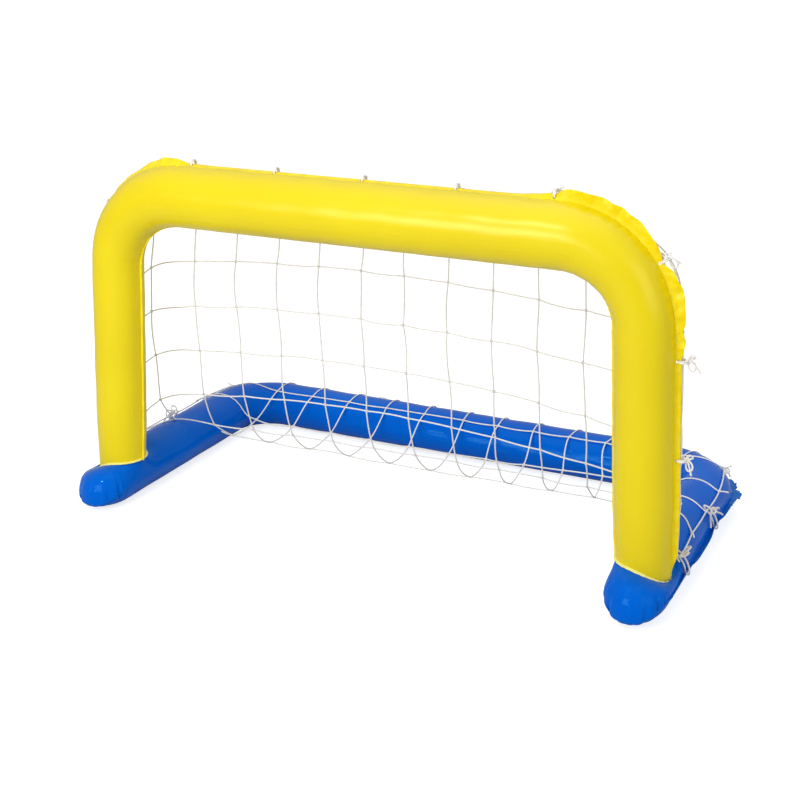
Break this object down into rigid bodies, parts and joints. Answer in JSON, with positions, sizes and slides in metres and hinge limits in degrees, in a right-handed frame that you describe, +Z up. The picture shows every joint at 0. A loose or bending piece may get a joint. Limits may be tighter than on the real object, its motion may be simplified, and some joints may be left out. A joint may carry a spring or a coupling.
{
  "type": "water polo goal",
  "caption": "Inflatable water polo goal: upright air frame on a U-shaped air base, with a knotted net tied through the welded seams and capped inflation valves.",
  "frame": {"origin": "on the floor under the middle of the goal's bounding box", "axes": "+X to the right seen from the front, across the goal mouth; +Y from the mouth to the rear bar; +Z up"},
  "size_m": [1.4674, 0.8364, 0.849],
  "materials": {
    "yellow_vinyl": "glossy inflated vinyl film",
    "pale_weld": "satin vinyl weld rim",
    "blue_vinyl": "glossy inflated vinyl film",
    "valve_vinyl": "soft translucent vinyl",
    "net_cord": "braided white cord",
    "tie_cord": "braided white cord"
  },
  "bodies": {
    "goal": {"frame_chamber": "yellow_vinyl", "base_chamber": "blue_vinyl", "left_post_collar": "pale_weld", "right_post_collar": "pale_weld", "frame_valve_patch": "valve_vinyl", "base_valve_patch": "valve_vinyl", "net_left_post_edge": "net_cord", "net_left_arm_edge": "net_cord", "net_top": "net_cord", "net_back_left": "net_cord", "net_rear": "net_cord", "net_belly_1": "net_cord", "net_belly_2": "net_cord", "net_belly_3": "net_cord", "net_back_middle": "net_cord", "net_back_right": "net_cord", "net_right_arm_edge": "net_cord", "net_right_post_edge": "net_cord", "tie_top_1": "tie_cord", "tie_rear_1": "tie_cord", "tie_top_2": "tie_cord", "tie_rear_2": "tie_cord", "tie_top_3": "tie_cord", "tie_rear_3": "tie_cord", "tie_top_4": "tie_cord", "tie_rear_4": "tie_cord", "tie_top_5": "tie_cord", "tie_rear_5": "tie_cord", "tie_left_post_1": "tie_cord", "tie_left_post_2": "tie_cord", "tie_left_post_3": "tie_cord", "tie_left_arm_1": "tie_cord", "tie_left_arm_2": "tie_cord", "tie_left_rear_corner": "tie_cord", "tie_right_post_1": "tie_cord", "tie_right_post_2": "tie_cord", "tie_right_post_3": "tie_cord", "tie_right_arm_1": "tie_cord", "tie_right_arm_2": "tie_cord", "tie_right_rear_corner": "tie_cord"},
    "base_valve_neck": {"base_valve_neck": "valve_vinyl"},
    "base_valve_plug": {"base_valve_plug": "valve_vinyl"},
    "frame_valve_neck": {"frame_valve_neck": "valve_vinyl"},
    "frame_valve_plug": {"frame_valve_plug": "valve_vinyl"}
  },
  "joints": [
    {"name": "frame_valve_slide", "type": "slide", "parent": "goal", "child": "frame_valve_neck", "axis": [0, 1, 0], "range_m": [0, 0.012]},
    {"name": "frame_valve_hinge", "type": "hinge", "parent": "frame_valve_neck", "child": "frame_valve_plug", "pos_m": [-0.62437, -0.21715, 0.34296], "axis": [0.9984, 0, -0.0572], "range_deg": [0, 150]},
    {"name": "base_valve_slide", "type": "slide", "parent": "goal", "child": "base_valve_neck", "axis": [0, 0.6527, 0.7576], "range_m": [0, 0.012]},
    {"name": "base_valve_hinge", "type": "hinge", "parent": "base_valve_neck", "child": "base_valve_plug", "pos_m": [-0.27048, 0.35951, 0.0959], "axis": [0, -0.7576, 0.6527], "range_deg": [0, 150]}
  ]
}
